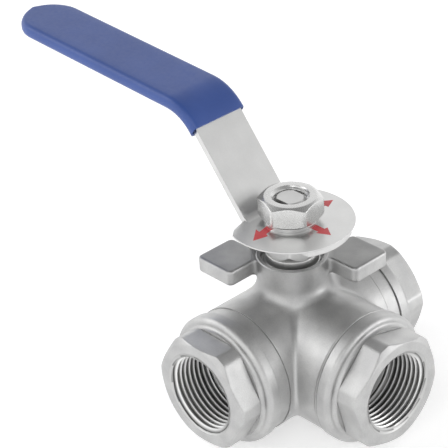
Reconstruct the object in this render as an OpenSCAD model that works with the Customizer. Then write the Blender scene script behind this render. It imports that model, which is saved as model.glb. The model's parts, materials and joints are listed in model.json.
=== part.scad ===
// Three way ball valve: a cast T body with three screwed end caps, a T bored ball on
// four seats, a packed stem and a stamped quarter turn lever with a dipped grip.
// Frame: origin at the ball centre, +Z up the stem, run ports along X, branch toward -Y.
// The lever rests over +Y and turns clockwise to +X. Millimetres.

/* [Ports] */
// ball centre to the face of a run port
run_reach = 41.6; // [40:0.1:46]
// ball centre to the face of the branch port
branch_reach = 43.7; // [40:0.1:48]
// crest radius of the pipe thread
thread_minor_r = 12.06; // [11.5:0.01:12.3]
// axial distance between thread turns
thread_pitch = 1.814; // [1.5:0.001:2.2]
// number of thread turns in a port
thread_turns = 8; // [4:1:8]
// radius of the mouth chamfer at the port face
mouth_r = 13.8; // [13.5:0.05:14.5]
// radius of the plain passage behind the thread
throat_r = 7.6; // [6.5:0.1:7.9]

/* [End caps] */
// visible length of a cap, from its seam to the port face
cap_len = 14; // [13.5:0.1:16]
// radius of the round collar next to the seam
ring_r = 21.3; // [20.9:0.1:23]
// width of the round collar
ring_w = 4.6; // [3:0.1:5]
// size of the hexagon across its flats
hex_af = 34; // [33:0.5:36]
// length of the hexagon
hex_len = 8.2; // [6:0.1:8.5]
// tilt of the left cap's hexagon
left_tilt = 30; // [0:1:59]
// tilt of the right cap's hexagon
right_tilt = 20; // [0:1:59]
// tilt of the branch cap's hexagon
branch_tilt = 45; // [0:1:59]

/* [Body] */
// outside radius of the three cast barrels
barrel_r = 20.8; // [20.2:0.1:21.2]
// outside radius of the machined bands at the run ends
band_r = 20.45; // [20:0.05:20.8]
// width of the machined bands
band_w = 4.8; // [2:0.1:6]
// outside radius of the stem neck
neck_r = 11.3; // [10.8:0.1:12]
// height of the neck's rim above the ball centre
neck_top = 31.8; // [31:0.1:33]
// side of a square stop lug
lug_size = 15; // [12:0.5:15.5]
// distance from the stem axis to the working faces of a lug
lug_gap = 6; // [6:0.1:7]
// thickness of a stop lug
lug_t = 5.2; // [3:0.1:6]
// corner radius of a stop lug
lug_corner = 1.8; // [1:0.1:4]

/* [Ball and seats] */
// ball radius
ball_r = 15; // [14.8:0.1:15]
// radius of the T shaped passage
ball_bore_r = 7.5; // [6:0.1:7.5]
// radial gap between the ball and its seats
seat_gap = 0.04; // [0.02:0.01:0.1]

/* [Stem] */
// stem radius
stem_r = 5; // [5:0.1:5]
// distance across the two flats of the stem
stem_flats = 7; // [6.4:0.1:8]
// height of the stem end
stem_top = 51.8; // [51:0.1:54]

/* [Lever] */
// width of the lever strip
lever_w = 19.2; // [16:0.2:20]
// thickness of the lever strip
lever_t = 2.2; // [1.5:0.1:2.2]
// underside of the lever at the stem
lever_z = 41.2; // [41:0.1:42]
// front radius of the lever's base
lever_front_r = 19.1; // [17:0.1:20]
// angle of the raised arm
arm_angle = 50.6; // [40:0.2:60]
// length of the raised arm between its bend corners
arm_len = 39.8; // [30:0.2:50]
// angle of the grip
grip_angle = 2.9; // [0:0.1:8]
// far end of the grip strip, from the stem axis
grip_end = 120.2; // [100:0.2:140]
// where the grip sleeve starts along the arm, from the lower bend
sleeve_start = 31.6; // [26:0.2:33]
// wall of the grip sleeve
sleeve_t = 1.25; // [0.8:0.05:1.6]
// corner radius of the grip sleeve
sleeve_corner = 1.9; // [1:0.1:2.2]

/* [Lever trim] */
// radius of the flow indicator plate
plate_r = 19.8; // [17:0.1:20.5]
// thickness of the indicator plate
plate_t = 0.5; // [0.4:0.1:1]
// back edge of the indicator plate on the lever, from the stem axis
plate_back = 8.1; // [7:0.1:8.1]
// back edge of the plate's ears beside the lever, from the stem axis
ear_back = 10.2; // [9:0.1:11]
// thickness of the lock washer under the lever nut
washer_t = 1.2; // [0.8:0.1:1.5]
// lever nut across flats
nut_af = 18; // [16:0.5:19]
// lever nut height
nut_h = 7.4; // [6:0.1:8]
// turn of the lever nut about the stem
nut_turn = 10.8; // [0:0.1:59.9]

/* [Hidden] */
$fn = 96;
eps = 0.01;
run_seam = run_reach - cap_len;
branch_seam = branch_reach - cap_len;
chamber_r = 15.6;            // machined chamber, just wider than the ball
spigot_r = 17;               // cap thread in the body
nose_at = 15.7;              // inner end of every cap
nose_r = 15.4;
nose_len = 2;
seat_r = 10.8;
seat_front = 10.9;
seat_tail_r = 9.6;
seat_tail = 1.5;
gasket_r = 19;
gasket_t = 1;
edge = 0.5;                  // small machined chamfer
mouth_len = 1;
thread_len = thread_turns * thread_pitch;
floor_len = 3.2;             // conical floor between thread and throat
hex_r = hex_af / 2 / cos(30);
hex_face_r = hex_af / 2 - 0.2;
hex_corner_r = hex_r - 1;     // the hexagon's corners are turned down to this radius
waist_r = 18.2;
step_clear = 0.05;
flange_r = 7.6;              // stem shoulder held under the body
flange_z = 15.9;
flange_t = 2.1;
thrust_t = 1.2;
roof_z = 19.2;               // top of the pocket for the stem shoulder
pack_r = 8;                  // packing box
pack_z = 20.6;
pack_h = 1.8;
pack_rise = 0.7;             // height of a packing ring's V
gland_z = 27;
gland_t = 1.6;
nut_seat_z = 26.8;           // bottom of the packing nut thread
neck_bore_r = 9;
neck_recess_r = 9.9;         // plain recess above the packing nut thread
neck_recess_z = 29.5;
neck_foot_z = 18.4;
neck_fillet = 3.3;
slot_w = 5.2;                // tongue slot across the ball
slot_z = 11.2;
tongue_w = 5;
tongue_l = 12;
flats_z = 39;
gland_thread_top = 30.3;
gland_relief_r = 8.4;
gland_hex_af = 16;
gland_hex_z = 33.6;
gland_hex_turn = 39;
gland_corner_z = 35.6;       // lower end of the hexagon's vertical corners
gland_top = 38.4;
stop_t = 2;
stop_r = 10.5;
tab_in = 12.6;
tab_out = 14.6;
tab_w = 11.8;
tab_foot = 29.2;
stem_top_chamfer = 0.9;
plate_z = lever_z + lever_t;
washer_z = plate_z + plate_t;
washer_r = 8.4;
nut_z = washer_z + washer_t;
nut_face_r = 8.3;            // round faces of the nut inside its chamfers
ear_in = lever_w / 2 + 0.4;  // inner edge of an ear beside the lever
ear_corner = [16.2, 8.5];
ear_out = [18.7, 6.4];
bend_in_r = 4;               // inside radius of the lower bend
bend_up_r = 15;              // inside radius of the upper bend
knee_y = 10.1;               // corner of the lower bend on the top face
bend_steps = 14;             // facets round each bend of the strip

steel = [0.72, 0.72, 0.71];
cast = [0.66, 0.66, 0.65];
ptfe = [0.93, 0.93, 0.9];
vinyl = [0.16, 0.26, 0.55];

// turn a shape built along +Z so that it points along -X, +X or -Y
module toward_left() { rotate([0, -90, 0]) children(); }
module toward_right() { rotate([0, 90, 0]) children(); }
module toward_branch() { rotate([90, 0, 0]) children(); }
module toward_back() { rotate([-90, 0, 0]) children(); }

// plain round shape between two heights
module disc(r, low, high) { translate([0, 0, low]) cylinder(r = r, h = high - low); }

// round the corners of a rectangle centred on the origin
module rounded_rect(w, h, r) {
    square([w - 2 * r, h], center = true);
    square([w, h - 2 * r], center = true);
    for (x = [-1, 1], y = [-1, 1])
        translate([x * (w / 2 - r), y * (h / 2 - r)]) circle(r = r);
}

// section of the stem with its two flats, for the stem and for the holes it drives
module flats_2d(extra = 0) {
    intersection() {
        circle(r = stem_r + extra);
        square([stem_flats + 2 * extra, 4 * stem_r], center = true);
    }
}

/* ---- body ---- */

// one barrel end: thread for the cap and recess for its gasket, along +Z
module cap_socket(seam) {
    disc(chamber_r, 0, seam + 1);
    disc(spigot_r, nose_at + nose_len, seam + 1);
    disc(gasket_r + step_clear, seam - gasket_t, seam + 1);
}

module run_barrel() {
    cylinder(r = barrel_r, h = run_seam - band_w);
    cylinder(r = band_r, h = run_seam - edge);
    cylinder(r = band_r - edge, h = run_seam);
}

module branch_barrel() {
    cylinder(r = barrel_r, h = branch_seam - edge);
    cylinder(r = barrel_r - edge, h = branch_seam);
}

module neck() {
    disc(neck_r, 0, neck_top - edge);
    disc(neck_r - edge, 0, neck_top);
    rotate_extrude() difference() {
        square([neck_r + neck_fillet, neck_foot_z + neck_fillet]);
        translate([neck_r + neck_fillet, neck_foot_z + neck_fillet]) circle(r = neck_fillet);
    }
}

// both square lugs that stop the lever a quarter turn apart
module stop_lugs() {
    middle = lug_gap + lug_size / 2;
    for (side = [-1, 1])
        translate([side * middle, -side * middle, neck_top - edge / 2 - lug_t])
            linear_extrude(lug_t) rounded_rect(lug_size, lug_size, lug_corner);
}

module body() {
    color(cast) difference() {
        union() {
            toward_left() run_barrel();
            toward_right() run_barrel();
            toward_branch() branch_barrel();
            neck();
            stop_lugs();
        }
        toward_left() cap_socket(run_seam);
        toward_right() cap_socket(run_seam);
        toward_branch() cap_socket(branch_seam);
        toward_back() disc(seat_tail_r + step_clear, 0, nose_at + seat_tail + step_clear);
        toward_back() disc(seat_r + step_clear, 0, nose_at);
        disc(flange_r + 0.2, 0, roof_z);
        disc(stem_r + 0.2, 0, neck_top);
        disc(pack_r, pack_z, neck_top);
        disc(neck_bore_r, nut_seat_z, neck_top);
        disc(neck_recess_r, neck_recess_z, neck_top + 1);
    }
}

/* ---- end caps ---- */

// everything removed from a port: mouth chamfer, bore at the thread's crests, floor and throat
module port_hole_2d(reach) {
    thread_end = reach - mouth_len - thread_len;
    polygon([
        [0, 0],
        [throat_r, 0],
        [throat_r, thread_end - floor_len],
        [thread_minor_r, thread_end],
        [thread_minor_r, reach - mouth_len],
        [mouth_r, reach],
        [mouth_r, reach + 1],
        [0, reach + 1]
    ]);
}

// round parts of a cap in half section: nose, spigot, collar and waist
module cap_2d(reach) {
    seam = reach - cap_len;
    polygon([
        [0, nose_at],
        [nose_r, nose_at],
        [nose_r, nose_at + nose_len + step_clear],
        [spigot_r - edge, nose_at + nose_len + step_clear],
        [spigot_r - step_clear, nose_at + nose_len + 2 * edge],
        [spigot_r - step_clear, seam],
        [ring_r - edge, seam],
        [ring_r, seam + edge],
        [ring_r, seam + ring_w - 2 * edge],
        [ring_r - 2 * edge, seam + ring_w],
        [waist_r, seam + ring_w],
        [waist_r, reach - hex_len + edge],
        [0, reach - hex_len + edge]
    ]);
}

// hexagon of a cap with blunt corners, turned down further at the port face
module cap_hexagon(reach) {
    back = reach - hex_len;
    intersection() {
        translate([0, 0, back]) cylinder(r = hex_r, h = hex_len, $fn = 6);
        rotate_extrude() polygon([
            [0, back],
            [hex_corner_r, back],
            [hex_corner_r, reach - (hex_corner_r - hex_face_r) * tan(30)],
            [hex_face_r, reach],
            [0, reach]
        ]);
    }
}

module cap(reach, tilt) {
    difference() {
        union() {
            rotate_extrude() cap_2d(reach);
            rotate([0, 0, tilt]) cap_hexagon(reach);
        }
        rotate_extrude() port_hole_2d(reach);
        disc(seat_tail_r + step_clear, nose_at - 1, nose_at + seat_tail + step_clear);
    }
}

module cap_left() { color(steel) toward_left() cap(run_reach, left_tilt); }
module cap_right() { color(steel) toward_right() cap(run_reach, right_tilt); }
module cap_branch() { color(steel) toward_branch() cap(branch_reach, branch_tilt); }

module gasket(seam) {
    color(ptfe) difference() {
        disc(gasket_r, seam - gasket_t, seam);
        disc(spigot_r, 0, seam + 1);
    }
}

module gasket_left() { toward_left() gasket(run_seam); }
module gasket_right() { toward_right() gasket(run_seam); }
module gasket_branch() { toward_branch() gasket(branch_seam); }

/* ---- seats and ball ---- */

module seat() {
    color(ptfe) rotate_extrude() difference() {
        union() {
            translate([throat_r, seat_front]) square([seat_r - throat_r, nose_at - seat_front]);
            translate([throat_r, seat_front])
                square([seat_tail_r - throat_r, nose_at - seat_front + seat_tail]);
        }
        circle(r = ball_r + seat_gap);
    }
}

module seat_left() { toward_left() seat(); }
module seat_right() { toward_right() seat(); }
module seat_branch() { toward_branch() seat(); }
module seat_back() { toward_back() seat(); }

module ball() {
    color(steel) difference() {
        sphere(r = ball_r);
        toward_right() cylinder(r = ball_bore_r, h = 3 * ball_r, center = true);
        toward_branch() cylinder(r = ball_bore_r, h = 2 * ball_r);
        translate([-slot_w / 2, -ball_r, slot_z]) cube([slot_w, 2 * ball_r, ball_r]);
    }
}

/* ---- stem and packing ---- */

module stem() {
    color(steel) {
        translate([-tongue_w / 2, -tongue_l / 2, slot_z + 0.2])
            cube([tongue_w, tongue_l, flange_z - slot_z]);
        disc(flange_r, flange_z, flange_z + flange_t);
        disc(stem_r, flange_z, flats_z);
        intersection() {
            translate([0, 0, flats_z - eps]) linear_extrude(stem_top - flats_z + eps) flats_2d();
            translate([0, 0, flats_z - 1])
                cylinder(r = stem_r + 1, h = stem_top - flats_z - stem_top_chamfer);
        }
        intersection() {
            translate([0, 0, flats_z]) linear_extrude(stem_top - flats_z) flats_2d();
            translate([0, 0, stem_top - 2 * stem_r])
                cylinder(r1 = 3 * stem_r - stem_top_chamfer, r2 = stem_r - stem_top_chamfer, h = 2 * stem_r);
        }
    }
}

module thrust_washer() {
    color(ptfe) translate([0, 0, flange_z + flange_t]) difference() {
        cylinder(r = flange_r, h = thrust_t);
        translate([0, 0, -1]) cylinder(r = stem_r + step_clear, h = thrust_t + 2);
    }
}

// one V section packing ring, standing on the given height
module packing(low) {
    inner = stem_r + step_clear;
    outer = pack_r - step_clear;
    middle = (inner + outer) / 2;
    color(ptfe) rotate_extrude() polygon([
        [inner, low],
        [middle, low + pack_rise],
        [outer, low],
        [outer, low + pack_h],
        [middle, low + pack_h + pack_rise],
        [inner, low + pack_h]
    ]);
}

module packing_lower() { packing(pack_z); }
module packing_middle() { packing(pack_z + pack_h); }
module packing_upper() { packing(pack_z + 2 * pack_h); }

module gland_ring() {
    inner = stem_r + step_clear;
    outer = pack_r - step_clear;
    foot = pack_z + 3 * pack_h;
    color(steel) rotate_extrude() polygon([
        [inner, foot],
        [(inner + outer) / 2, foot + pack_rise],
        [outer, foot],
        [outer, gland_z + gland_t],
        [inner, gland_z + gland_t]
    ]);
}

module packing_nut() {
    foot = gland_z + gland_t;
    corner_r = gland_hex_af / 2 / cos(30);
    color(steel) difference() {
        union() {
            disc(neck_bore_r - step_clear, foot, gland_thread_top);
            disc(gland_relief_r, foot, gland_hex_z);
            intersection() {
                rotate([0, 0, gland_hex_turn]) translate([0, 0, gland_hex_z - edge])
                    cylinder(r = corner_r, h = gland_top - gland_hex_z + edge, $fn = 6);
                rotate_extrude() polygon([
                    [0, gland_hex_z - edge],
                    [gland_relief_r - edge, gland_hex_z - edge],
                    [corner_r, gland_corner_z],
                    [corner_r, gland_top - edge],
                    [corner_r - 2 * edge, gland_top],
                    [0, gland_top]
                ]);
            }
        }
        disc(stem_r + 0.1, 0, gland_top + 1);
    }
}

module stop_plate() {
    color(steel) difference() {
        union() {
            disc(stop_r, lever_z - stop_t, lever_z);
            translate([-tab_w / 2, 0, lever_z - stop_t]) cube([tab_w, tab_out, stop_t]);
            translate([-tab_w / 2, tab_in, tab_foot]) cube([tab_w, tab_out - tab_in, lever_z - tab_foot]);
        }
        translate([0, 0, lever_z - stop_t - 1]) linear_extrude(stop_t + 2) flats_2d(step_clear);
    }
}

/* ---- lever ---- */

// corner points of the lever's top face in side view
arm_top_y = knee_y + arm_len * cos(arm_angle);
arm_top_z = plate_z + arm_len * sin(arm_angle);

// how far a bend reaches back from its corner
function bend_back(r, turn) = r * tan(turn / 2);

// centre of the upper bend in side view
high_r = bend_up_r + lever_t;
high_back = bend_back(high_r, arm_angle - grip_angle);
high_y = arm_top_y - high_back * cos(arm_angle) + high_r * sin(arm_angle);
high_z = arm_top_z - high_back * sin(arm_angle) - high_r * cos(arm_angle);

// points along an arc in side view
function arc(y, z, r, from, to) =
    [for (step = [0 : bend_steps]) let (a = from + (to - from) * step / bend_steps)
        [y + r * cos(a), z + r * sin(a)]];

// side view of the lever in the Y Z plane: along its top face, then back along its underside
module lever_side_2d() {
    low_y = knee_y - bend_back(bend_in_r, arm_angle);
    low_z = plate_z + bend_in_r;
    up = -90 + arm_angle;
    steep = 90 + arm_angle;
    flat = 90 + grip_angle;
    past = 20;
    far_y = grip_end + past;
    far_z = arm_top_z + (far_y - arm_top_y) * tan(grip_angle);
    polygon(concat(
        [[-lever_front_r - 1, plate_z]],
        arc(low_y, low_z, bend_in_r, -90, up),
        arc(high_y, high_z, high_r, steep, flat),
        [[far_y, far_z], [far_y + lever_t * sin(grip_angle), far_z - lever_t * cos(grip_angle)]],
        arc(high_y, high_z, bend_up_r, flat, steep),
        arc(low_y, low_z, bend_in_r + lever_t, up, -90),
        [[-lever_front_r - 1, lever_z]]
    ));
}

// top view of the lever: arc at the stem end, half round at the grip end
module lever_top_2d(half, front, end_y) {
    intersection() {
        circle(r = front);
        translate([-half, -front]) square([2 * half, 2 * front]);
    }
    translate([-half, 0]) square([2 * half, end_y - half]);
    translate([0, end_y - half]) circle(r = half);
}

// lever strip without its hole
module lever_strip() {
    intersection() {
        translate([-lever_w / 2, 0, 0]) rotate([90, 0, 90]) linear_extrude(lever_w) lever_side_2d();
        linear_extrude(110) lever_top_2d(lever_w / 2, lever_front_r, grip_end);
    }
}

module lever() {
    color(steel) difference() {
        lever_strip();
        translate([0, 0, lever_z - 1]) linear_extrude(lever_t + 2) flats_2d(step_clear);
    }
}

/* ---- grip sleeve ---- */

sleeve_half_w = lever_w / 2 + sleeve_t;
sleeve_half_h = lever_t / 2 + sleeve_t;
tip_y = grip_end + sleeve_t - sleeve_half_w;
corner_steps = 5;
tip_steps = 12;
tip_turn = 80;               // how far round the tip arc the last ring stands
mouth_tilt = 20;             // slant of the sleeve's mouth, longer on the underside

// stations of the sleeve: side view point on the strip's middle line, slope, half width
function station(y, z, angle, half) =
    [y + lever_t / 2 * sin(angle), z - lever_t / 2 * cos(angle), angle, half];
function grip_station(y, half) =
    station(y, arm_top_z + (y - arm_top_y) * tan(grip_angle), grip_angle, half);
stations = concat(
    [[knee_y + sleeve_start * cos(arm_angle) + lever_t / 2 * sin(arm_angle),
        plate_z + sleeve_start * sin(arm_angle) - lever_t / 2 * cos(arm_angle),
        arm_angle - mouth_tilt, sleeve_half_w]],
    [for (step = [0 : bend_steps])
        let (a = arm_angle + (grip_angle - arm_angle) * step / bend_steps)
            station(high_y - high_r * sin(a), high_z + high_r * cos(a), a, sleeve_half_w)],
    [for (step = [0 : tip_steps]) let (a = tip_turn * step / tip_steps)
        grip_station(tip_y + sleeve_half_w * sin(a), sleeve_half_w * cos(a))]
);

// outline of one ring of the sleeve: a rectangle with round corners, in its station's plane
function ring(place) = [
    for (corner = [0 : 3], step = [0 : corner_steps])
        let (a = 90 * corner + 90 * step / corner_steps,
            r = min(sleeve_corner, place[3] / 2),
            side = (corner == 0 || corner == 3) ? 1 : -1,
            face = corner < 2 ? 1 : -1,
            x = side * (place[3] - r) + r * cos(a),
            n = face * (sleeve_half_h - sleeve_corner) + sleeve_corner * sin(a))
                [x, place[0] - n * sin(place[2]), place[1] + n * cos(place[2])]
];

// closed solid through all rings
module sleeve_outside() {
    around = 4 * (corner_steps + 1);
    rings = len(stations);
    start = [for (i = [around - 1 : -1 : 0]) i];
    end = [for (i = [0 : around - 1]) (rings - 1) * around + i];
    skin = [for (k = [0 : rings - 2], i = [0 : around - 1], half = [0, 1])
        let (here = k * around + i, next = k * around + (i + 1) % around)
            half == 0 ? [here, next, here + around] : [next, next + around, here + around]];
    polyhedron(points = [for (place = stations) each ring(place)],
        faces = concat([start], skin, [end]));
}

module lever_sleeve() {
    color(vinyl) difference() {
        sleeve_outside();
        lever_strip();
    }
}

/* ---- lever trim ---- */

module indicator_plate() {
    right_edge = [
        [plate_r + 1, -plate_r - 1],
        [plate_r + 1, 5],
        ear_out,
        ear_corner,
        [ear_in, ear_back],
        [ear_in, plate_back]
    ];
    left_edge = [for (i = [len(right_edge) - 1 : -1 : 0]) [-right_edge[i][0], right_edge[i][1]]];
    color(steel) translate([0, 0, plate_z]) linear_extrude(plate_t) difference() {
        intersection() {
            circle(r = plate_r);
            polygon(concat(right_edge, left_edge));
        }
        flats_2d(step_clear);
    }
}

module lock_washer() {
    color(steel) translate([0, 0, washer_z]) difference() {
        cylinder(r = washer_r, h = washer_t);
        translate([0, 0, -1]) cylinder(r = stem_r + step_clear, h = washer_t + 2);
    }
}

module lever_nut() {
    nut_r = nut_af / 2 / cos(30);
    drop = (nut_r - nut_face_r) * tan(30);
    color(steel) difference() {
        intersection() {
            rotate([0, 0, nut_turn]) translate([0, 0, nut_z]) cylinder(r = nut_r, h = nut_h, $fn = 6);
            rotate_extrude() polygon([
                [0, nut_z],
                [nut_face_r, nut_z],
                [nut_r, nut_z + drop],
                [nut_r, nut_z + nut_h - drop],
                [nut_face_r, nut_z + nut_h],
                [0, nut_z + nut_h]
            ]);
        }
        disc(stem_r, nut_z - 1, nut_z + nut_h + 1);
        translate([0, 0, nut_z + nut_h - 2 * edge])
            cylinder(r1 = stem_r, r2 = stem_r + 4 * edge, h = 4 * edge);
    }
}

body();
cap_left();
cap_right();
cap_branch();
gasket_left();
gasket_right();
gasket_branch();
seat_left();
seat_right();
seat_branch();
seat_back();
ball();
stem();
thrust_washer();
packing_lower();
packing_middle();
packing_upper();
gland_ring();
packing_nut();
stop_plate();
lever();
lever_sleeve();
indicator_plate();
lock_washer();
lever_nut();
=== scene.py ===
import json
import math

import bmesh
import bpy
import numpy as np
from mathutils import Matrix, Vector


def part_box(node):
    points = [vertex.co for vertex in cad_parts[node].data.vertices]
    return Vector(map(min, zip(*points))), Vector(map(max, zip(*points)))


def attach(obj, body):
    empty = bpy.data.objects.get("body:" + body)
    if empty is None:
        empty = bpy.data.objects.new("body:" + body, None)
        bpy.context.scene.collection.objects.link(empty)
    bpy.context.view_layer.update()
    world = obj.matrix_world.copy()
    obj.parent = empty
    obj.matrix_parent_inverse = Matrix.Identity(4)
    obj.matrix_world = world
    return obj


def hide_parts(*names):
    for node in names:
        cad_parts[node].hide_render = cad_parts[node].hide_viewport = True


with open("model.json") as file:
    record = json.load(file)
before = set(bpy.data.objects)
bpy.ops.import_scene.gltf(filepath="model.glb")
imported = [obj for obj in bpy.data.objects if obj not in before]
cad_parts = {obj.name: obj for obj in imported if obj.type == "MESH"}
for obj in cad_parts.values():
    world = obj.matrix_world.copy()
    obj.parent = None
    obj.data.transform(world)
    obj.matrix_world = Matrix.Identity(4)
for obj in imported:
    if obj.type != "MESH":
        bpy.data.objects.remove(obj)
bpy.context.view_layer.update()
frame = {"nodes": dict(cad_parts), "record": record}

# Sizes are millimetres and angles degrees up to the point where a mesh is made.
MM = 0.001
WELD = 1e-6                    # points nearer than this are one point, in metres
AROUND = 192                   # points round a lathe form
X, Y, Z = 0, 1, 2


def low_high(node, axis):
    """Where a CAD node starts and ends along an axis."""
    low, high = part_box(node)
    return round(low[axis] / MM, 2), round(high[axis] / MM, 2)


# ---- end caps: lengths run from the valve's centre out to the port's face ----
RUN_REACH, BRANCH_REACH = low_high("cap_right", X)[1], -low_high("cap_branch", Y)[0]
CAP_LEN = 14.0                 # from a cap's seam to its face
CREST_R, ROOT_R, PITCH, TURNS = 12.06, 13.22, 1.814, 8   # 3/4 inch pipe thread
MOUTH_R, MOUTH_LEN, THROAT_R, FLOOR_LEN = 13.8, 1.0, 7.6, 3.2
GROOVE_START, CONE_LEN = 0.35, 0.7       # where the first groove opens, and the mouth cone ends
RING_R, RING_W, WAIST_R = -low_high("cap_right", Z)[0], 4.6, 18.2   # collar, and waist before it
HEX_AF, HEX_LEN, HEX_FACE_R, HEX_CORNER_R = 34.0, 8.2, 16.8, 18.63
COLLAR_HOLLOW, COLLAR_ROUND = 1.2, 1.8   # fillet in front of a collar, and its own front edge
CHAMFER_SLOPE = math.tan(math.radians(30))   # turned down corners of every hexagon
SPIGOT_R, NOSE_R, NOSE_AT, NOSE_LEN = 16.95, 15.4, 15.7, 2.05   # inside the body
SEAT_POCKET_R, SEAT_POCKET_END = 9.65, 17.25
TILTS = {"left": 30, "right": 20, "branch": 45}          # how far each hexagon is turned
THREAD_PHASE = {"left": 0.65, "right": 0.2, "branch": 0.4}   # where each thread starts, in turns
HEELS = {"left": 0.3, "right": 0.15, "branch": 0.3}      # chamfer at the back of each collar

# ---- body ----
BARREL_R = 20.8
BAND_R, RIGHT_BAND_R, BAND_W = 20.45, 20.75, 4.8   # turned bands beside the run caps
LIP_R, LIP_W = 21.3, 0.9       # lip of the branch barrel at its seam
SEAM_GAP, RIGHT_SEAM_GAP = 0.15, 0.05    # open gap between the body and a collar
SOFT_EDGE = 0.12               # rounding of the bands' edges and of the ports' mouths
CHAMBER_R, THREAD_R, GASKET_R, GASKET_T = 15.6, 17.0, 19.05, 1.0   # sockets for the caps
BACK_BORE_R = 10.85            # bore behind the back seat
NECK_R, NECK_TOP = 11.3, low_high("body", Z)[1]
POCKET_R, POCKET_TOP, STEM_HOLE_R = 7.8, 19.2, 5.2   # bores in the neck, from below
PACKING_R, PACKING_LOW, PACKING_TOP = 8.0, 20.6, 26.8
NUT_SOCKET_R, NUT_SOCKET_TOP, NECK_MOUTH_R = 9.0, 29.4, 9.9
LUG_MIDDLE, LUG_HALF, LUG_LOW, LUG_HIGH, LUG_CORNER = 13.5, 7.5, 26.35, 31.5, 1.8
SPARE = 1.2                    # length that a blank has past its seam before it is machined
RUN_BLANK, BRANCH_BLANK = RUN_REACH - CAP_LEN + SPARE, BRANCH_REACH - CAP_LEN + SPARE
CLEAR = 40                     # past every surface of the body
VOXEL = 0.48                   # spacing of the casting's mesh

# ---- lever, plate and nuts ----
PLATE_LOW, PLATE_TOP = low_high("indicator_plate", Z)
LEVER_W, LEVER_T = low_high("lever", X)[1] * 2, 2.2
NUT_AROUND = 96                # points round a nut or washer


# ---- mesh making ----

def link(name, mesh):
    """New object in the scene with this mesh."""
    obj = bpy.data.objects.new(name, mesh)
    bpy.context.collection.objects.link(obj)
    return obj


def solid(name, points, faces):
    """Closed mesh from points in millimetres, with doubled points welded and faces turned outward."""
    mesh = bpy.data.meshes.new(name)
    mesh.from_pydata((np.asarray(points) * MM).tolist(), [], faces)
    bm = bmesh.new()
    bm.from_mesh(mesh)
    bmesh.ops.remove_doubles(bm, verts=bm.verts, dist=WELD)
    bmesh.ops.dissolve_degenerate(bm, edges=bm.edges, dist=WELD)
    bmesh.ops.recalc_face_normals(bm, faces=bm.faces)
    bm.to_mesh(mesh)
    bm.free()
    return link(name, mesh)


def finish_mesh(obj, angle=32, weighted=True):
    """Smooth shading that breaks at edges sharper than the angle, with flats that stay flat."""
    mesh = obj.data
    mesh.polygons.foreach_set("use_smooth", np.ones(len(mesh.polygons), bool))
    mesh.set_sharp_from_angle(angle=math.radians(angle))
    if weighted:
        m = obj.modifiers.new("weighted", "WEIGHTED_NORMAL")
        m.keep_sharp = True
    return obj


def applied(obj):
    """The object with its modifiers made part of its mesh."""
    graph = bpy.context.evaluated_depsgraph_get()
    mesh = bpy.data.meshes.new_from_object(obj.evaluated_get(graph))
    obj.modifiers.clear()
    obj.data = mesh
    return obj


def drop(obj):
    """Take a helper object out of the scene."""
    bpy.data.objects.remove(obj)


def vertices_mm(obj):
    """Coordinates of the mesh points, in millimetres, as three rows."""
    points = np.empty(len(obj.data.vertices) * 3)
    obj.data.vertices.foreach_get("co", points)
    return points.reshape(-1, 3).T / MM


def mark(obj, name, values):
    """Give the mesh points a value that its material reads."""
    obj.data.attributes.new(name, "FLOAT", "POINT").data.foreach_set("value", values)


def quads(rows, around, shift=0, start=0):
    """Faces between rows of points. After one turn, row k meets row k + shift."""
    k, j = np.meshgrid(np.arange(rows - 1), np.arange(around), indexing="ij")
    k, j = k.ravel(), j.ravel()
    turn = (j == around - 1) * shift
    near, far = np.minimum(k + turn, rows - 1), np.minimum(k + 1 + turn, rows - 1)
    nxt = (j + 1) % around
    loop = np.stack([k * around + j, near * around + nxt, far * around + nxt, (k + 1) * around + j], 1)
    return (loop + start).tolist()


def spin(rows, around=AROUND):
    """Points of rows of (radius, height), each a number or one value per point round the axis."""
    theta = np.arange(around) * 2 * math.pi / around
    r = np.array([np.broadcast_to(row[0], around) for row in rows], float)
    z = np.array([np.broadcast_to(row[1], around) for row in rows], float)
    return np.stack([r * np.cos(theta), r * np.sin(theta), z], 2).reshape(-1, 3)


def lathe(name, rows, around=AROUND, closed=False):
    """Solid of revolution. An open profile starts and ends on the axis."""
    rows = list(rows) + ([rows[0]] if closed else [])
    return solid(name, spin(rows, around), quads(len(rows), around))


TOWARD = {
    "up": Matrix.Identity(4),
    "left": Matrix.Rotation(math.radians(-90), 4, "Y"),
    "right": Matrix.Rotation(math.radians(90), 4, "Y"),
    "branch": Matrix.Rotation(math.radians(90), 4, "X"),
    "back": Matrix.Rotation(math.radians(-90), 4, "X"),
}


def aim(obj, way, turn=0):
    """Point a form made along +Z another way, after a turn about its own axis."""
    obj.data.transform(TOWARD[way] @ Matrix.Rotation(math.radians(turn), 4, "Z"))
    return obj


def blend_min(a, b, k):
    """Smaller of two distances, with a fillet where they are within k of each other."""
    h = np.clip(0.5 + 0.5 * (b - a) / k, 0, 1)
    return b + (a - b) * h - k * h * (1 - h)


def hexagon(across, corner_r, soft=0.05, around=AROUND):
    """Distance from the axis to a hexagon with corners turned down to a radius, the first at 0."""
    theta = np.arange(around) * 2 * math.pi / around
    reach = across / 2 / np.cos(theta % (math.pi / 3) - math.pi / 6)
    return blend_min(reach, np.full(around, corner_r), soft)


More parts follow.
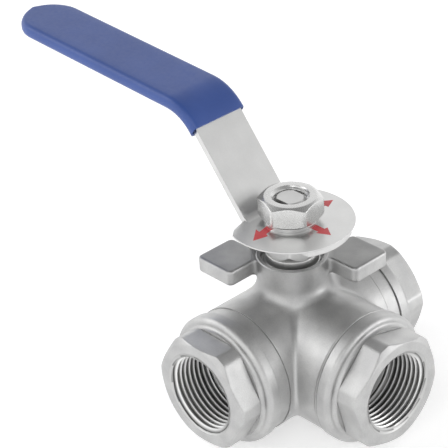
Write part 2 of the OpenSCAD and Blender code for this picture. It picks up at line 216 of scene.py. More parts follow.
def thread(low, high, crest, root, pitch, bore_at, around=AROUND, per_turn=12, fade=1.2, phase=0):
    """Rows of a right hand thread whose lines follow the helix. bore_at gives a radius that the
    surface never goes under, from the height. Each turn ends one pitch further along."""
    step = pitch / per_turn
    count = math.ceil((high - low + pitch) / step) + 1
    k = np.arange(count)[:, None]
    theta = np.arange(around)[None, :] / around
    raw = low - pitch + k * step + pitch * theta
    z = np.clip(raw, low, high)
    u = (k % per_turn) / per_turn + phase
    u = u - np.floor(u)
    tooth = np.clip((1 - np.abs(2 * u - 1) - 1 / 7) / (5 / 7), 0, 1)
    tooth = 0.55 * tooth + 0.45 * tooth * tooth * (3 - 2 * tooth)
    tooth = tooth * np.clip((z - low) / (fade * pitch), 0, 1)
    r = np.maximum(crest + (root - crest) * tooth, bore_at(z))
    angle = 2 * math.pi * theta
    return np.stack([r * np.cos(angle), r * np.sin(angle), z], 2).reshape(-1, 3), count, per_turn


# ---- end caps ----

def end_cap(side, reach):
    """Hexagon end cap with a turned collar and a cut pipe thread."""
    seam = reach - CAP_LEN
    back = reach - HEX_LEN
    ring_front = seam + RING_W
    thread_low = reach - MOUTH_LEN - TURNS * PITCH
    rim = SOFT_EDGE
    flat = hexagon(HEX_AF, HEX_CORNER_R, SOFT_EDGE)
    slope = CHAMFER_SLOPE
    turned = flat - HEX_FACE_R
    soft = np.minimum(0.16, 0.35 * turned)
    hollow, round_r = COLLAR_HOLLOW, COLLAR_ROUND
    heel = HEELS[side]
    rows = [
        (MOUTH_R - rim, reach - rim),
        (MOUTH_R - 0.05, reach - 0.04),
        (MOUTH_R + 0.1, reach),
        (HEX_FACE_R - 0.3, reach),
        (HEX_FACE_R - 0.08, reach - 0.03),
        (HEX_FACE_R + 0.3 * turned, reach - 0.3 * turned * slope - 0.03),
        (flat - soft, reach - (turned - soft) * slope - 0.02),
        (flat - 0.3 * soft, reach - turned * slope - 0.1),
        (flat, reach - turned * slope - 0.3),
        (flat, reach - turned * slope - 0.6),
        (flat, back + 0.4),
        (flat - 0.02, back + 0.2),
        (flat - 0.1, back + 0.07),
        (flat - 0.25, back),
        (np.minimum(WAIST_R, flat - 0.3), back),
    ]
    rows += [(WAIST_R + hollow - hollow * math.cos(a), ring_front + hollow - hollow * math.sin(a))
             for a in np.linspace(0, math.pi / 2, 7)]
    rows += [(RING_R - round_r + round_r * math.sin(a), ring_front - round_r + round_r * math.cos(a))
             for a in np.linspace(0, math.pi / 2, 9)]
    rows += [
        (RING_R, seam + heel),
        (RING_R - 0.2 * heel, seam + 0.4 * heel),
        (RING_R - 0.5 * heel, seam + 0.12 * heel),
        (RING_R - heel, seam),
        (SPIGOT_R, seam),
        (SPIGOT_R, NOSE_AT + NOSE_LEN + 1),
        (SPIGOT_R - 0.5, NOSE_AT + NOSE_LEN),
        (NOSE_R, NOSE_AT + NOSE_LEN),
        (NOSE_R, NOSE_AT),
        (SEAT_POCKET_R, NOSE_AT),
        (SEAT_POCKET_R, SEAT_POCKET_END),
        (THROAT_R, SEAT_POCKET_END),
        (THROAT_R, thread_low - FLOOR_LEN),
        (THROAT_R + 0.3, thread_low - FLOOR_LEN + 0.1),
        (CREST_R - 0.1, thread_low - 0.1),
        (CREST_R, thread_low),
    ]
    outside = spin(rows)
    bore, count, per_turn = thread(thread_low, reach - rim, CREST_R, ROOT_R, PITCH,
                                   lambda z: np.interp(reach - z, (rim, GROOVE_START, CONE_LEN),
                                                       (MOUTH_R - rim, ROOT_R - 0.05, CREST_R)),
                                   phase=THREAD_PHASE[side])
    faces = quads(len(rows), AROUND) + quads(count, AROUND, per_turn, len(outside))
    obj = solid("end_cap_" + side, np.concatenate([outside, bore]), faces)
    x, y, z = vertices_mm(obj)
    r = np.hypot(x, y)
    # Painted shade in the thread: the groove value darkens the roots by their depth and darkens the whole
    # throat. The fade value is painted shade toward the bottom of the bore, and near the mouth it evens
    # the cut tone into the cast.
    groove = np.clip((r - CREST_R) / (ROOT_R - CREST_R), 0, 1) * (z < reach - GROOVE_START)
    throat = r < CREST_R - 0.05
    mark(obj, "groove", np.where(throat, 1, groove))
    mark(obj, "fade", np.interp(reach - z, (CONE_LEN, PITCH, TURNS * PITCH), (0.6, 1, 0.6)))
    for face in obj.data.polygons:
        c = face.center / MM
        if c.z > SEAT_POCKET_END and math.hypot(c.x, c.y) < MOUTH_R + 0.02:
            face.material_index = 1
    aim(obj, side, TILTS[side])
    return finish_mesh(obj)


# ---- cast body ----

def rounded_post(x, y, z, radius, low, high, edge):
    """Distance to an upright cylinder with rounded edges."""
    a = np.hypot(x, y) - radius + edge
    b = np.abs(z - (low + high) / 2) - (high - low) / 2 + edge
    return np.minimum(np.maximum(a, b), 0) + np.hypot(np.maximum(a, 0), np.maximum(b, 0)) - edge


def rounded_block(x, y, z, half, low, high, corner, edge):
    """Distance to an upright square block with rounded corners and edges."""
    qx, qy = np.abs(x) - half + corner, np.abs(y) - half + corner
    a = np.minimum(np.maximum(qx, qy), 0) + np.hypot(np.maximum(qx, 0), np.maximum(qy, 0)) - corner + edge
    b = np.abs(z - (low + high) / 2) - (high - low) / 2 + edge
    return np.minimum(np.maximum(a, b), 0) + np.hypot(np.maximum(a, 0), np.maximum(b, 0)) - edge


def casting(p):
    """Signed distance to the body as cast, before it is machined."""
    x, y, z = p.T
    run = rounded_post(y, z, x, BARREL_R, -RUN_BLANK, RUN_BLANK, 0.6)
    branch = rounded_post(x, z, y, BARREL_R, -BRANCH_BLANK, 0, 0.6)
    lip = rounded_post(x, z, y, LIP_R, -BRANCH_BLANK, LIP_W + CAP_LEN - BRANCH_REACH, 0.1)
    branch = blend_min(branch, lip, 0.5)
    d = blend_min(run, branch, 1.3)
    d = blend_min(d, rounded_post(x, y, z, NECK_R, 0, NECK_TOP + 1, 0.3), 4.4)
    for side in (-1, 1):
        lug = rounded_block(x - side * LUG_MIDDLE, y + side * LUG_MIDDLE, z, LUG_HALF,
                            LUG_LOW, LUG_HIGH, LUG_CORNER, 0.7)
        d = blend_min(d, lug, 2.4)
    return d


def settle(points, edges, rounds):
    """Move mesh points onto the casting's surface, evening out their spacing on the way."""
    count = len(points)
    degree = np.bincount(edges.ravel(), minlength=count)[:, None]
    step = 0.02
    for turn in range(rounds):
        if turn < rounds - 2:
            total = np.zeros_like(points)
            for axis in range(3):
                total[:, axis] = (np.bincount(edges[:, 0], points[edges[:, 1], axis], count)
                                  + np.bincount(edges[:, 1], points[edges[:, 0], axis], count))
            points = points + 0.6 * (total / degree - points)
        for _ in range(2):
            d = casting(points)
            slope = np.stack([casting(points + s) - casting(points - s)
                              for s in np.eye(3) * step], 1) / (2 * step)
            points = points - (d / np.maximum((slope ** 2).sum(1), 0.2))[:, None] * slope
    return points


def cut(obj, cutters):
    """Take each cutter out of the object, and drop it."""
    for cutter in cutters:
        m = obj.modifiers.new("cut", "BOOLEAN")
        m.operation, m.solver, m.object = "DIFFERENCE", "MANIFOLD", cutter
        applied(obj)
        drop(cutter)


def cast_skin():
    """The casting's skin: rough blanks joined by a voxel mesh that is then drawn onto the form."""
    blanks = [
        aim(lathe("blank", [(0, -RUN_BLANK), (BARREL_R, -RUN_BLANK), (BARREL_R, RUN_BLANK),
                            (0, RUN_BLANK)]), "right"),
        aim(lathe("blank", [(0, 0), (BARREL_R, 0), (BARREL_R, BRANCH_BLANK), (0, BRANCH_BLANK)]),
            "branch"),
        lathe("blank", [(0, 0), (NECK_R + 3, 0), (NECK_R + 3, 20), (NECK_R, 23),
                        (NECK_R, NECK_TOP + 1), (0, NECK_TOP + 1)]),
    ]
    for side in (-1, 1):
        x, y = side * LUG_MIDDLE, -side * LUG_MIDDLE
        corners = [(x + a * LUG_HALF, y + b * LUG_HALF, z) for z in (LUG_LOW, LUG_HIGH)
                   for a, b in ((-1, -1), (1, -1), (1, 1), (-1, 1))]
        sides = [(i, (i + 1) % 4, 4 + (i + 1) % 4, 4 + i) for i in range(4)]
        blanks.append(solid("blank", corners, [(3, 2, 1, 0), (4, 5, 6, 7)] + sides))
    whole = bmesh.new()
    for blank in blanks:
        whole.from_mesh(blank.data)
        drop(blank)
    mesh = bpy.data.meshes.new("body_casting")
    whole.to_mesh(mesh)
    whole.free()
    obj = link("body_casting", mesh)
    m = obj.modifiers.new("remesh", "REMESH")
    m.mode, m.voxel_size = "VOXEL", VOXEL * MM
    applied(obj)
    edges = np.empty(len(obj.data.edges) * 2, int)
    obj.data.edges.foreach_get("vertices", edges)
    points = settle(vertices_mm(obj).T, edges.reshape(-1, 2), 10)
    obj.data.vertices.foreach_set("co", (points * MM).ravel())
    return obj


def socket(seam, gap, outside):
    """Cutter for a cap's socket, and for the barrel's outside near its seam."""
    return lathe("cutter", [
        (0, 0), (CHAMBER_R, 0), (CHAMBER_R, NOSE_AT + 2), (THREAD_R, NOSE_AT + 2),
        (THREAD_R, seam - GASKET_T), (GASKET_R, seam - GASKET_T), (GASKET_R, seam - gap),
    ] + outside + [(CLEAR, CLEAR), (0, CLEAR)])


def run_socket(radius, gap):
    """Socket cutter that leaves a turned band beside the seam."""
    seam = RUN_REACH - CAP_LEN
    small, start = radius - SOFT_EDGE, seam - BAND_W
    return socket(seam, gap, [(small, seam - gap), (radius, seam - gap - SOFT_EDGE),
                              (radius, start + 0.15), (small, start + SOFT_EDGE),
                              (small, start), (CLEAR, start)])


def branch_socket():
    """Socket cutter that leaves a lip at the seam."""
    seam = BRANCH_REACH - CAP_LEN
    edge = seam - SEAM_GAP - 0.3
    return socket(seam, SEAM_GAP, [(LIP_R - 0.4, seam - SEAM_GAP), (LIP_R + 0.05, edge),
                                   (CLEAR, edge)])


def back_pocket():
    """Cutter for the pocket of the back seat."""
    end = SEAT_POCKET_END + 0.05
    return lathe("cutter", [(0, 0), (BACK_BORE_R, 0), (BACK_BORE_R, NOSE_AT),
                            (SEAT_POCKET_R, NOSE_AT), (SEAT_POCKET_R, end), (0, end)])


def neck_bores():
    """Cutter for the stem's pocket, hole and packing, the nut's socket and the neck's rim."""
    rim = NECK_TOP - 0.25
    return lathe("cutter", [
        (0, 1), (POCKET_R, 1), (POCKET_R, POCKET_TOP), (STEM_HOLE_R, POCKET_TOP),
        (STEM_HOLE_R, PACKING_LOW), (PACKING_R, PACKING_LOW), (PACKING_R, PACKING_TOP),
        (NUT_SOCKET_R, PACKING_TOP), (NUT_SOCKET_R, NUT_SOCKET_TOP),
        (NECK_MOUTH_R, NUT_SOCKET_TOP + 0.1), (NECK_MOUTH_R, NECK_TOP - 0.2),
        (NECK_MOUTH_R + 0.2, NECK_TOP), (NECK_R - 0.3, NECK_TOP),
        (NECK_R + 0.02, rim), (CLEAR, rim), (CLEAR, CLEAR), (0, CLEAR)])


def body_casting():
    """Body: cast skin, machined at its ends, bores and neck, with painted shade on the lug tops and the
    upper neck.
    """
    obj = cast_skin()
    cut(obj, [
        aim(run_socket(BAND_R, SEAM_GAP), "left"),
        aim(run_socket(RIGHT_BAND_R, RIGHT_SEAM_GAP), "right"),
        aim(branch_socket(), "branch"),
        aim(back_pocket(), "back"),
        neck_bores(),
    ])
    x, y, z = vertices_mm(obj)
    r = np.hypot(x, y)
    # Painted shade: the tops of the lugs, and half as much on the upper neck, are darkened in the
    # casting's colour.
    lugs = np.clip((z - LUG_HIGH + 0.25) / 0.2, 0, 1) * np.clip((r - NECK_R - 0.3) / 0.5, 0, 1)
    neck = 0.5 * np.clip((z - POCKET_TOP) / 4, 0, 1) * np.clip(NECK_R + 2 - r, 0, 1)
    mark(obj, "painted_lug_neck_shade", np.maximum(lugs, neck))
    return finish_mesh(obj, 30, weighted=False)


# ---- nuts ----

def lever_nut():
    """Hexagon nut, turned down at both ends, with its thread."""
    low, high = low_high("lever_nut", Z)
    across, face_r, bore = 18.0, 8.3, 5.0
    thread_depth, thread_pitch, turn = 0.75, 1.5, 10.8
    flat = hexagon(across, across / math.sqrt(3) - 0.15, around=NUT_AROUND)
    slope = CHAMFER_SLOPE
    turned = flat - face_r
    soft = 0.18
    rows = [
        (bore + 1, high), (bore + 1.15, high), (face_r - 0.3, high), (face_r, high - 0.06),
        (flat - soft, high - (turned - soft) * slope - 0.02),
        (flat - 0.3 * soft, high - turned * slope - 0.08), (flat, high - turned * slope - 0.25),
        (flat, low + turned * slope + 0.25), (flat - 0.3 * soft, low + turned * slope + 0.08),
        (flat - soft, low + (turned - soft) * slope + 0.02), (face_r, low + 0.06),
        (face_r - 0.3, low), (bore + 0.3, low), (bore, low + 0.3),
    ]
    outside = spin(rows, NUT_AROUND)
    inside, count, per_turn = thread(low + 0.3, high, bore, bore + thread_depth, thread_pitch,
                                     lambda z: np.maximum(bore, bore + 1 - (high - z)),
                                     NUT_AROUND, 8, 0.5)
    faces = quads(len(rows), NUT_AROUND) + quads(count, NUT_AROUND, per_turn, len(outside))
    obj = solid("hex_nut", np.concatenate([outside, inside]), faces)
    return finish_mesh(aim(obj, "up", turn))


def gland_nut():
    """Packing nut: plain foot without its thread, relief and hexagon round the stem."""
    foot, top = low_high("packing_nut", Z)
    relief_low, under = foot + 1.5, foot + 4.5
    across, face_r, bore, foot_r, relief, turn = 16.0, 8.25, 5.1, 8.95, 8.4, 39
    flat = hexagon(across, across / math.sqrt(3) - 0.15, around=NUT_AROUND)
    corner = across / math.sqrt(3)
    shown = relief - 0.5
    slope = 2.5 / (corner - shown)
    chamfer = np.maximum(flat - face_r, 0.02)
    rows = [
        (bore, foot), (foot_r - 0.35, foot), (foot_r, foot + 0.35), (foot_r, relief_low),
        (foot_r - 0.2, relief_low + 0.2), (relief, relief_low + 0.25),
        (relief, under - 0.2), (relief - 0.1, under), (shown + 0.02, under + 0.02),
        (flat - 0.03, under + (flat - shown) * slope - 0.15),
        (flat, under + (flat - shown) * slope + 0.1),
        (flat, top - chamfer * 0.5 - 0.3),
        (np.minimum(flat - 0.05, face_r + 0.35), top - chamfer * 0.1 - 0.12),
        (np.minimum(flat - 0.3, face_r - 0.05), top),
        (bore + 0.5, top), (bore + 0.2, top - 0.15), (bore, top - 0.5),
    ]
    return finish_mesh(aim(lathe("gland_nut", rows, NUT_AROUND, closed=True), "up", turn))


def spring_washer():
    """Washer under the lever nut, with rounded edges."""
    low, high = low_high("lock_washer", Z)
    inner, outer = 5.15, 8.4
    rows = [(inner, low), (outer - 0.05, low), (outer, low + 0.05), (outer, high - 0.35),
            (outer - 0.1, high - 0.22), (outer - 0.7, high), (inner, high)]
    return finish_mesh(lathe("spring_washer", rows, NUT_AROUND, closed=True))


# ---- sheet pieces ----

def softened(node, name, width, segments=2, angle=40):
    """Copy of a CAD node with its sharp edges rounded over."""
    mesh = frame["nodes"][node].data.copy()
    mesh.name = name
    obj = link(name, mesh)
    bm = bmesh.new()
    bm.from_mesh(mesh)
    bmesh.ops.remove_doubles(bm, verts=bm.verts, dist=WELD * 5)
    bmesh.ops.dissolve_limit(bm, angle_limit=math.radians(0.6), verts=bm.verts, edges=bm.edges)
    bm.to_mesh(mesh)
    bm.free()
    mesh.materials.clear()
    m = obj.modifiers.new("edges", "BEVEL")
    m.width, m.segments, m.limit_method = width * MM, segments, "ANGLE"
    m.angle_limit = math.radians(angle)
    applied(obj)
    return finish_mesh(obj, 32)


# ---- grip sleeve ----

KNEE_Y, ARM_ANGLE, ARM_LEN, GRIP_ANGLE = 10.1, 50.6, 39.8, 2.9
GRIP_END = low_high("lever", Y)[1]
SLEEVE_START, BEND_R, MOUTH_TILT = 31.6, 15 + LEVER_T, 20
MOUTH_GAPE = 0.75              # how far the sleeve's mouth stands off the strip's edges
SKIN_T, SKIN_FIT = 1.25, 0.06  # how far the grip's skin stands out of the strip, outside and in


def grip_path(wall, steps_bend=28, steps_grip=26, steps_tip=30):
    """Stations down the middle of the strip: y, z, slope, half width of a skin that far out."""
    a, g = math.radians(ARM_ANGLE), math.radians(GRIP_ANGLE)
    top_y, top_z = KNEE_Y + ARM_LEN * math.cos(a), PLATE_LOW + ARM_LEN * math.sin(a)
    back = BEND_R * math.tan((a - g) / 2)
    cy = top_y - back * math.cos(a) + BEND_R * math.sin(a)
    cz = top_z - back * math.sin(a) - BEND_R * math.cos(a)
    half = LEVER_W / 2 + wall
    middle = LEVER_T / 2
    path = []

    def add(y, z, slope, width):
        path.append((y + middle * math.sin(slope), z - middle * math.cos(slope), slope, width))

    start_y = KNEE_Y + SLEEVE_START * math.cos(a)
    start_z = PLATE_LOW + SLEEVE_START * math.sin(a)
    add(start_y, start_z, a, half)
    for t in np.linspace(0, 1, steps_bend + 1):
        s = a + (g - a) * t
        add(cy - BEND_R * math.sin(s), cz + BEND_R * math.cos(s), s, half)
    bend_end = cy - BEND_R * math.sin(g)
    tip = GRIP_END + wall - half
    for y in np.linspace(bend_end, tip, steps_grip + 1)[1:]:
        add(y, top_z + (y - top_y) * math.tan(g), g, half)
    for t in np.linspace(0, 1, steps_tip + 1)[1:]:
        turn = math.pi / 2 * t * 0.985
        y = tip + half * math.sin(turn)
        add(y, top_z + (y - top_y) * math.tan(g), g, half * math.cos(turn))
    return path


def skin(path, half_h, corner, per_corner=6, per_side=8):
    """Rings of a rounded strip section along the path, the first cut aslant."""
    rings = []
    for i, (y, z, slope, half) in enumerate(path):
        r = min(corner, half * 0.6)
        outline = []
        for q, (sx, sn) in enumerate(((1, 1), (-1, 1), (-1, -1), (1, -1))):
            for t in range(per_corner + 1):
                ang = math.pi / 2 * (q + t / per_corner)
                outline.append((sx * (half - r) + r * math.cos(ang),
                                sn * (half_h - corner) + corner * math.sin(ang)))
            if q in (0, 2):
                a, b = outline[-1], (-sx * (half - r), outline[-1][1])
                for t in np.linspace(0, 1, per_side + 1)[1:-1]:
                    outline.append((a[0] + (b[0] - a[0]) * t, a[1]))
        for x, n in outline:
            lean = math.tan(math.radians(MOUTH_TILT)) * n if i == 0 else 0
            rings.append((x, y - n * math.sin(slope) + lean * math.cos(slope),
                          z + n * math.cos(slope) + lean * math.sin(slope)))
    return np.array(rings), len(outline)


def grip_sleeve():
    """Dipped vinyl grip: a hollow skin that stands a little off the strip at its mouth."""
    outer, around = skin(grip_path(SKIN_T), LEVER_T / 2 + SKIN_T, 1.95)
    inner, _ = skin(grip_path(SKIN_FIT), LEVER_T / 2 + SKIN_FIT, 0.5)
    rows = len(outer) // around
    outer, inner = outer.reshape(rows, around, 3), inner.reshape(rows, around, 3)
    gape = MOUTH_GAPE * np.exp(-np.arange(rows) / 5.0)[:, None]
    sideways = np.sign(inner[:, :, 0]) * (np.abs(inner[:, :, 0]) > LEVER_W / 2 - 1)
    inner[:, :, 0] += sideways * gape
    lip = (outer[0] * 0.7 + inner[0] * 0.3)
    out_of_mouth = np.array([0, -math.cos(math.radians(ARM_ANGLE)), -math.sin(math.radians(ARM_ANGLE))])
    lip_far = (outer[0] * 0.5 + inner[0] * 0.5) + 0.12 * out_of_mouth
    lip_in = (outer[0] * 0.2 + inner[0] * 0.8)
    rings = np.concatenate([outer[::-1], [lip, lip_far, lip_in], inner])
    count = len(rings)
    points = rings.reshape(-1, 3)
    faces = quads(count, around)
    faces += [list(range(around))[::-1], list(range((count - 1) * around, count * around))]
    obj = solid("grip_sleeve", points, faces)
    return finish_mesh(obj, 60, weighted=False)


# ---- flow arrows ----

def flow_arrow(name, tip, base, left, right, shaft):
    """Thin printed arrow on the indicator plate, from five points of its outline."""
    tip, base = np.array(tip), np.array(base)
    along = (tip - base) / np.linalg.norm(tip - base)
    across = np.array([-along[1], along[0]])
    neck = base + along * np.dot((np.array(left) + np.array(right)) / 2 - base, along)
    outline = [base - across * shaft / 2, neck - across * shaft / 2, right, tip, left,
               neck + across * shaft / 2, base + across * shaft / 2]
    fine = []
    for a, b in zip(outline, outline[1:] + outline[:1]):
        a, b = np.array(a), np.array(b)
        fine += [a + (b - a) * t for t in np.linspace(0, 1, 5)[:-1]]
    low, top = PLATE_TOP - 0.02, PLATE_TOP + 0.03
    n = len(fine)
    points = [(x, y, low) for x, y in fine] + [(x, y, top) for x, y in fine]
    sides = [(i, (i + 1) % n, n + (i + 1) % n, n + i) for i in range(n)]
    return solid(name, points, [list(range(n))[::-1], list(range(n, 2 * n))] + sides)


# ---- materials ----

def nodes_of(name):
    """New material with its node tree and its surface node."""
    mat = bpy.data.materials.new(name)
    mat.use_nodes = True
    tree = mat.node_tree
    bsdf = tree.nodes["Principled BSDF"]
    return mat, tree, bsdf


def noise(tree, scale, detail=3, stretch=(1, 1, 1), rough=0.5):
    """Noise in object space; scale is features per metre."""
    coord = tree.nodes.new("ShaderNodeTexCoord")
    place = tree.nodes.new("ShaderNodeMapping")
    place.inputs["Scale"].default_value = stretch
    tex = tree.nodes.new("ShaderNodeTexNoise")
    tex.inputs["Scale"].default_value = scale
    tex.inputs["Detail"].default_value = detail
    tex.inputs["Roughness"].default_value = rough
    tree.links.new(coord.outputs["Object"], place.inputs[0])
    tree.links.new(place.outputs[0], tex.inputs["Vector"])
    return tex.outputs["Fac"]


def spread(tree, value, low, high, start=0.3, end=0.7):
    """Stretch a value's range from start..end to low..high."""
    node = tree.nodes.new("ShaderNodeMapRange")
    node.inputs["From Min"].default_value = start
    node.inputs["From Max"].default_value = end
    node.inputs["To Min"].default_value = low
    node.inputs["To Max"].default_value = high
    tree.links.new(value, node.inputs["Value"])
    return node.outputs["Result"]


def tone(tree, value, dark, light, start=0.3, end=0.7):
    """Colour that runs from dark at start to light at end."""
    ramp = tree.nodes.new("ShaderNodeValToRGB")
    ramp.color_ramp.elements[0].position, ramp.color_ramp.elements[0].color = start, (*dark, 1)
    ramp.color_ramp.elements[1].position, ramp.color_ramp.elements[1].color = end, (*light, 1)
    tree.links.new(value, ramp.inputs["Fac"])
    return ramp.outputs["Color"]


def bump(tree, bsdf, layers):
    """Stack of (height value, depth in millimetres) bumps."""
    last = None
    for value, depth in layers:
        node = tree.nodes.new("ShaderNodeBump")
        node.inputs["Strength"].default_value = 1
        node.inputs["Distance"].default_value = depth * MM
        tree.links.new(value, node.inputs["Height"])
        if last:
            tree.links.new(last, node.inputs["Normal"])
        last = node.outputs["Normal"]
    tree.links.new(last, bsdf.inputs["Normal"])


def metal(name, dark, light, rough, grain, stretch=(1, 1, 1), depth=0.01, blotch=0.004, speckle=0.04):
    """Steel with a broad mottle and a fine speckle in its tone, and a fine grain in its surface."""
    mat, tree, bsdf = nodes_of(name)
    bsdf.inputs["Metallic"].default_value = 1
    fine = noise(tree, grain, 2, stretch)
    broad = noise(tree, 140, 5)
    mottle = tone(tree, broad, dark, light)
    grains = tone(tree, fine, (1 - speckle,) * 3, (1, 1, 1))
    tree.links.new(times(tree, mottle, grains), bsdf.inputs["Base Color"])
    tree.links.new(spread(tree, fine, rough[0], rough[1]), bsdf.inputs["Roughness"])
    bump(tree, bsdf, [(broad, blotch), (fine, depth)])
    return mat


def value_of(tree, attribute):
    """Value that mark() gave the mesh, or 0."""
    node = tree.nodes.new("ShaderNodeAttribute")
    node.attribute_name = attribute
    return node.outputs["Fac"]


def times(tree, a, b):
    """Product of two colours."""
    node = tree.nodes.new("ShaderNodeMix")
    node.data_type, node.blend_type = "RGBA", "MULTIPLY"
    node.inputs["Factor"].default_value = 1
    tree.links.new(a, node.inputs["A"])
    tree.links.new(b, node.inputs["B"])
    return node.outputs["Result"]


def tint_by(mat, shade, *sockets):
    """Multiply a material's colour, and any other named inputs, by a shade."""
    tree = mat.node_tree
    bsdf = tree.nodes["Principled BSDF"]
    plain = bsdf.inputs["Base Color"].links[0].from_socket
    tree.links.new(times(tree, plain, shade), bsdf.inputs["Base Color"])
    for socket in sockets:
        tree.links.new(shade, bsdf.inputs[socket])


def cast_steel():
    """Blasted casting, darker where shade is painted on the lug tops and the upper neck."""
    mat = metal("cast_steel", (0.50, 0.50, 0.50), (0.62, 0.62, 0.615), (0.40, 0.52), 2600,
                depth=0.05, blotch=0.05, speckle=0.12)
    tree = mat.node_tree
    # Painted shade on the lug tops and the upper neck, read from the mesh's mark.
    tint_by(mat, tone(tree, value_of(tree, "painted_lug_neck_shade"), (1, 1, 1), (0.64, 0.64, 0.64), 0, 1))
    return mat


def cut_thread():
    """Cut thread: bright crests, with painted shade in the roots and the throat, and painted shade toward
    the bottom of the bore.
    """
    mat = metal("cut_thread", (0.92, 0.92, 0.915), (0.97, 0.97, 0.96), (0.36, 0.44), 2600,
                depth=0.002, blotch=0.001)
    tree = mat.node_tree
    # Painted shade: roots and throat darkened, times painted shade toward the bottom of the bore (near
    # the mouth the same value evens the cut tone into the cast), in the colour and the specular tint.
    groove = tone(tree, value_of(tree, "groove"), (1, 1, 1), (0.4, 0.4, 0.4), 0.35, 0.85)
    tint_by(mat, times(tree, groove, value_of(tree, "fade")), "Specular Tint")
    return mat


def turned_steel():
    """Satin, for nuts and rings."""
    return metal("turned_steel", (0.62, 0.62, 0.615), (0.68, 0.68, 0.675), (0.36, 0.44), 3000,
                 depth=0.006, blotch=0.004)


def sheet_steel():
    """Stamped strip and plates, with a grain along the lever."""
    return metal("sheet_steel", (0.66, 0.66, 0.655), (0.71, 0.71, 0.705), (0.28, 0.36), 3600,
                 (1, 0.2, 1), depth=0.004, blotch=0.002)


def polished_steel():
    """Smoother, for the lever nut and the ball."""
    return metal("polished_steel", (0.62, 0.62, 0.615), (0.68, 0.68, 0.675), (0.24, 0.32), 3000,
                 depth=0.003, blotch=0.002)


def ptfe():
    """Waxy white seats, gaskets and packing."""
    mat, tree, bsdf = nodes_of("ptfe")
    soft = noise(tree, 220, 3)
    tree.links.new(tone(tree, soft, (0.78, 0.78, 0.75), (0.86, 0.86, 0.84)), bsdf.inputs["Base Color"])
    bsdf.inputs["Roughness"].default_value = 0.45
    bsdf.inputs["Subsurface Weight"].default_value = 0.05
    bump(tree, bsdf, [(soft, 0.01)])
    return mat


def vinyl():
    """Dipped blue grip with a slight orange peel."""
    mat, tree, bsdf = nodes_of("vinyl")
    broad, fine = noise(tree, 70, 3), noise(tree, 900, 2)
    tree.links.new(tone(tree, broad, (0.030, 0.072, 0.27), (0.038, 0.086, 0.31)),
                   bsdf.inputs["Base Color"])
    tree.links.new(spread(tree, fine, 0.34, 0.44), bsdf.inputs["Roughness"])
    bump(tree, bsdf, [(broad, 0.05), (fine, 0.006)])
    return mat


def red_paint():
    """Printed arrows."""
    mat, tree, bsdf = nodes_of("red_paint")
    broad, fine = noise(tree, 300, 3), noise(tree, 1500, 2)
    tree.links.new(tone(tree, broad, (0.58, 0.060, 0.070), (0.66, 0.080, 0.090)),
                   bsdf.inputs["Base Color"])
    tree.links.new(spread(tree, fine, 0.35, 0.5), bsdf.inputs["Roughness"])
    bump(tree, bsdf, [(fine, 0.004)])
    return mat


def floor_white():
    """Pale floor, lit enough to stay white."""
    mat, _, bsdf = nodes_of("floor")
    bsdf.inputs["Base Color"].default_value = (0.9, 0.9, 0.9, 1)
    bsdf.inputs["Roughness"].default_value = 0.9
    bsdf.inputs["Emission Color"].default_value = (1, 1, 1, 1)
    bsdf.inputs["Emission Strength"].default_value = 0.4
    return mat


def make_materials():
    """Every look by its short name."""
    return {"cast": cast_steel(), "turned": turned_steel(), "cut": cut_thread(),
            "sheet": sheet_steel(), "polished": polished_steel(), "ptfe": ptfe(),
            "vinyl": vinyl(), "red": red_paint(), "floor": floor_white()}


def paint(obj, *mats):
    """Give the mesh its materials. Each face keeps its slot, which clear() would reset."""
    mesh = obj.data
    slots = np.zeros(len(mesh.polygons), np.int32)
    mesh.polygons.foreach_get("material_index", slots)
    mesh.materials.clear()
    for mat in mats:
        mesh.materials.append(mat)
    mesh.polygons.foreach_set("material_index", np.minimum(slots, len(mats) - 1))


# ---- view, light and floor ----

CAM_AZ, CAM_EL, CAM_ROLL = -41.9, 30.619, -3.229
CAM_DIST, CAM_RIGHT, CAM_UP = 563.55, -22.618, 36.217
SENSOR, LENS = 36, 142.183


def add_camera():
    """Camera in front of the branch port, above and to the left of it."""
    a, e, r = (math.radians(x) for x in (CAM_AZ, CAM_EL, CAM_ROLL))
    back = Vector((math.sin(a) * math.cos(e), -math.cos(a) * math.cos(e), math.sin(e)))
    right = Vector((math.cos(a), math.sin(a), 0))
    up = back.cross(right)
    right, up = (math.cos(r) * right + math.sin(r) * up,
                 -math.sin(r) * right + math.cos(r) * up)
    place = (back * CAM_DIST + right * CAM_RIGHT + up * CAM_UP) * MM
    data = bpy.data.cameras.new("camera")
    data.sensor_width, data.lens = SENSOR, LENS
    data.clip_start, data.clip_end = 0.01, 20
    cam = bpy.data.objects.new("camera", data)
    cam.matrix_world = Matrix.Translation(place) @ Matrix((right, up, back)).transposed().to_4x4()
    bpy.context.collection.objects.link(cam)
    bpy.context.scene.camera = cam


def add_light(name, place, target, size, power):
    """Round soft light, in metres and watts, aimed at a target."""
    data = bpy.data.lights.new(name, "AREA")
    data.shape, data.size, data.energy = "DISK", size, power
    lamp = bpy.data.objects.new(name, data)
    lamp.location = place
    lamp.rotation_euler = (Vector(target) - Vector(place)).to_track_quat("-Z", "Y").to_euler()
    bpy.context.collection.objects.link(lamp)


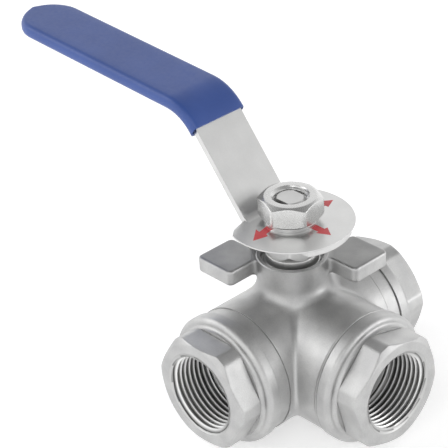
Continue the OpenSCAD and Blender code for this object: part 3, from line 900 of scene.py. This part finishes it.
def add_studio(floor_mat):
    """White surroundings that darken overhead, three soft lights, and a floor under the caps."""
    scene = bpy.context.scene
    scene.view_settings.view_transform = "Standard"
    world = bpy.data.worlds.new("studio")
    scene.world = world
    world.use_nodes = True
    tree = world.node_tree
    coord = tree.nodes.new("ShaderNodeTexCoord")
    split = tree.nodes.new("ShaderNodeSeparateXYZ")
    tree.links.new(coord.outputs["Generated"], split.inputs[0])
    ramp = tree.nodes.new("ShaderNodeValToRGB")
    stops = ((0.0, 1.0), (0.25, 0.95), (0.5, 0.8), (0.75, 0.4), (1.0, 0.22))
    while len(ramp.color_ramp.elements) < len(stops):
        ramp.color_ramp.elements.new(0.5)
    for element, (place, level) in zip(ramp.color_ramp.elements, stops):
        element.position, element.color = place, (level, level, level, 1)
    tree.links.new(split.outputs["Z"], ramp.inputs["Fac"])
    back = tree.nodes["Background"]
    tree.links.new(ramp.outputs["Color"], back.inputs["Color"])
    tree.links.new(spread(tree, split.outputs["Y"], 1.1, 1.4, -0.7, 0.4), back.inputs["Strength"])
    neck = (0, 0, 0.02)
    add_light("key", (-0.9, -0.5, 1.0), neck, 0.8, 2)
    add_light("back", (-0.8, 1.0, 0.9), neck, 0.8, 3)
    add_light("front", (0.9, -1.2, 0.3), neck, 0.6, 3)
    low = min(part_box("cap_left")[0].z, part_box("cap_branch")[0].z)
    far = 3000
    floor = solid("floor", [(-far, -far, 0), (far, -far, 0), (far, far, 0), (-far, far, 0)],
                  [(0, 1, 2, 3)])
    floor.location.z = low
    paint(floor, floor_mat)


# ---- assembly ----

def main():
    """Build every piece, give it its look, hang it under its body's empty and hide the CAD node it stands
    for.
    """
    mats = make_materials()
    add_camera()
    add_studio(mats["floor"])

    def place(obj, body, node, slot, *finish):
        paint(obj, *(mats[f] for f in finish))
        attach(obj, body)
        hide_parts(node)

    place(body_casting(), "valve_body", "body", "cast_steel", "cast")
    for side, reach in (("left", RUN_REACH), ("right", RUN_REACH), ("branch", BRANCH_REACH)):
        place(end_cap(side, reach), "valve_body", "cap_" + side, "turned_steel", "cast", "cut")
    place(gland_nut(), "valve_body", "packing_nut", "turned_steel", "turned")
    place(softened("stop_plate", "stop_disc", 0.2), "lever_unit", "stop_plate", "sheet_steel", "sheet")
    place(softened("lever", "lever_strip", 0.25), "lever_unit", "lever", "sheet_steel", "sheet")
    place(grip_sleeve(), "lever_unit", "lever_sleeve", "vinyl", "vinyl")
    place(softened("indicator_plate", "flow_plate", 0.1), "lever_unit", "indicator_plate",
          "sheet_steel", "sheet")
    place(spring_washer(), "lever_unit", "lock_washer", "turned_steel", "turned")
    place(lever_nut(), "lever_unit", "lever_nut", "polished_steel", "polished")

    arrows = {
        "left": ((-16.7, -0.5), (-6.4, 1.6), (-11.8, -1.9), (-11.5, 3.6)),
        "branch": ((1.3, -15.6), (1.45, -6.7), (3.8, -11.8), (-0.8, -11.4)),
        "right": ((17.0, -1.6), (6.4, 0.2), (13.2, 1.4), (13.0, -3.4)),
    }
    for side, (tip, base, left, right) in arrows.items():
        arrow = flow_arrow("flow_arrow_" + side, tip, base, left, right, 2.5)
        paint(arrow, mats["red"])
        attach(arrow, "lever_unit")

    finishes = {"turned_steel": "turned", "polished_steel": "polished", "sheet_steel": "sheet",
                "cast_steel": "cast", "ptfe": "ptfe", "vinyl": "vinyl"}
    for part in frame["record"]["subparts"]:
        obj = frame["nodes"][part["node"]]
        if not obj.hide_render:
            for i in range(len(obj.material_slots)):
                obj.material_slots[i].material = mats[finishes[part["material_slot"]]]


main()
